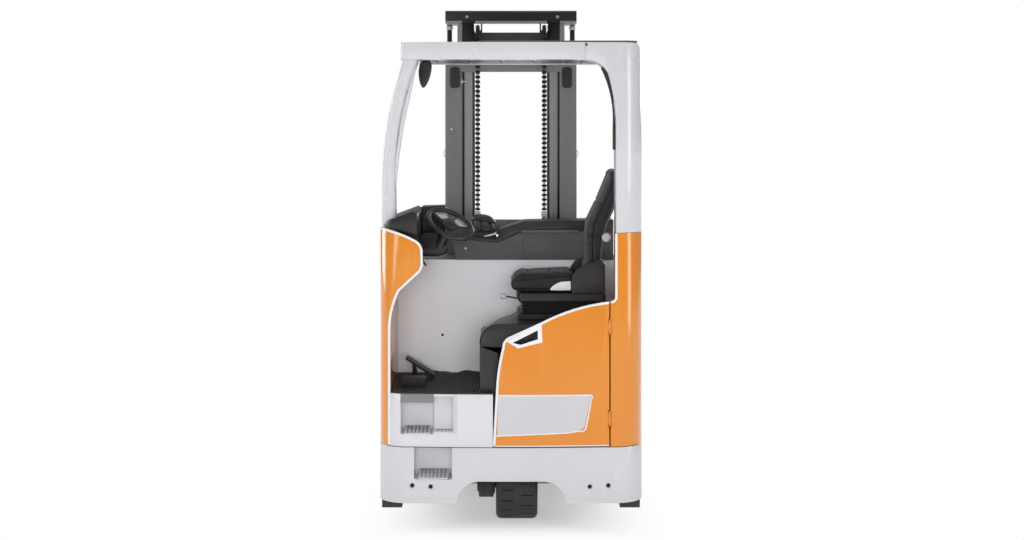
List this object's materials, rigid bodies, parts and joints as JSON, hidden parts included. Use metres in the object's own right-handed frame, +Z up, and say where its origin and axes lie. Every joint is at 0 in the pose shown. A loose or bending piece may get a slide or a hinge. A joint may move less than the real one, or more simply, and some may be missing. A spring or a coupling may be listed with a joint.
{
  "type": "reach truck",
  "caption": "Sit-on reach truck with a sideways cab, a battery bay, a three-stage mast that rolls out between its legs, and forks that lift, tilt and shift.",
  "frame": {"origin": "centre of the truck's footprint over its forks, on the floor", "axes": "+Y runs forward to the fork tips, +Z up, +X to the side of the rear column"},
  "size_m": [1.2717, 2.504, 2.545],
  "materials": {
    "light_paint": "satin paint",
    "orange_paint": "gloss paint",
    "dark_paint": "satin paint",
    "black_plastic": "grained moulding",
    "grey_plastic": "grained moulding",
    "rubber": "ribbed rubber",
    "tyre": "moulded tyre",
    "steel": "turned steel",
    "bright_rod": "ground and plated",
    "seat_cover": "woven seat cover"
  },
  "bodies": {
    "chassis": {"base_frame": "light_paint", "corner_stops": "rubber", "step_housing": "light_paint", "step_treads": "dark_paint", "floor_mat": "rubber", "battery_wall": "light_paint", "left_side_panel": "orange_paint", "right_side_panel": "orange_paint", "rear_corner_panel": "orange_paint", "rear_column": "light_paint", "column_trim": "black_plastic", "guard_frame": "light_paint", "guard_bars": "dark_paint", "a_pillar": "light_paint", "seat_pedestal": "black_plastic", "drive_motor": "dark_paint", "battery": "dark_paint", "battery_hood": "grey_plastic", "reach_cylinder": "dark_paint", "left_reach_leg": "dark_paint", "right_reach_leg": "dark_paint", "pedals": "black_plastic", "console": "grey_plastic", "console_tray": "black_plastic", "control_levers": "black_plastic", "dashboard": "black_plastic", "steering_column": "black_plastic", "seat_base": "black_plastic", "seat_cushion": "seat_cover", "seat_backrest": "seat_cover", "recliner_cover": "black_plastic", "mirror": "black_plastic"},
    "rear_door": {"rear_door": "orange_paint"},
    "drive_unit": {"drive_gearbox": "dark_paint"},
    "drive_wheel": {"drive_tyre": "tyre", "drive_hub": "steel"},
    "left_load_wheel": {"left_load_wheel": "tyre"},
    "right_load_wheel": {"right_load_wheel": "tyre"},
    "steering_wheel": {"steering_wheel": "black_plastic"},
    "mast_carriage": {"outer_mast": "dark_paint", "mast_brackets": "black_plastic", "lift_cylinders": "dark_paint", "reach_carriage": "dark_paint", "reach_rod": "bright_rod"},
    "middle_stage": {"middle_mast": "dark_paint", "middle_rollers": "steel", "lift_rods": "bright_rod", "chain_pulleys": "steel", "lift_chains": "steel"},
    "inner_stage": {"inner_mast": "dark_paint", "inner_rollers": "steel"},
    "fork_lift": {"lift_carriage": "dark_paint"},
    "fork_tilt": {"tilt_frame": "dark_paint"},
    "fork_shift": {"side_shift_frame": "dark_paint", "left_fork": "dark_paint", "right_fork": "dark_paint"}
  },
  "joints": [
    {"name": "rear_door_swing", "type": "hinge", "parent": "chassis", "child": "rear_door", "pos_m": [0.475, -1.231, 0.7], "axis": [0, 0, 1], "range_deg": [0, 95]},
    {"name": "drive_steer", "type": "hinge", "parent": "chassis", "child": "drive_unit", "pos_m": [0.028, -1.016, 0.38], "axis": [0, 0, 1], "range_deg": [-90, 90]},
    {"name": "drive_wheel_spin", "type": "hinge", "parent": "drive_unit", "child": "drive_wheel", "pos_m": [0.028, -1.016, 0.18], "axis": [1, 0, 0], "continuous": true},
    {"name": "left_load_wheel_spin", "type": "hinge", "parent": "chassis", "child": "left_load_wheel", "pos_m": [-0.5645, 0.446, 0.1425], "axis": [1, 0, 0], "continuous": true},
    {"name": "right_load_wheel_spin", "type": "hinge", "parent": "chassis", "child": "right_load_wheel", "pos_m": [0.5645, 0.446, 0.1425], "axis": [1, 0, 0], "continuous": true},
    {"name": "steering_wheel_turn", "type": "hinge", "parent": "chassis", "child": "steering_wheel", "pos_m": [-0.303, -0.922, 1.437], "axis": [0.3995, -0.4195, 0.8151], "continuous": true},
    {"name": "mast_reach", "type": "slide", "parent": "chassis", "child": "mast_carriage", "axis": [0, 1, 0], "range_m": [0, 0.59]},
    {"name": "middle_lift", "type": "slide", "parent": "mast_carriage", "child": "middle_stage", "axis": [0, 0, 1], "range_m": [0, 1.95]},
    {"name": "inner_lift", "type": "slide", "parent": "middle_stage", "child": "inner_stage", "axis": [0, 0, 1], "range_m": [0, 1.95]},
    {"name": "carriage_lift", "type": "slide", "parent": "inner_stage", "child": "fork_lift", "axis": [0, 0, 1], "range_m": [0, 1.75]},
    {"name": "fork_tilt", "type": "hinge", "parent": "fork_lift", "child": "fork_tilt", "pos_m": [0, -0.006, 0.15], "axis": [1, 0, 0], "range_deg": [-2, 4]},
    {"name": "fork_side_shift", "type": "slide", "parent": "fork_tilt", "child": "fork_shift", "axis": [1, 0, 0], "range_m": [-0.075, 0.075]}
  ],
  "couplings": [
    {"joint": "inner_lift", "follows": "middle_lift", "ratio": 1}
  ]
}
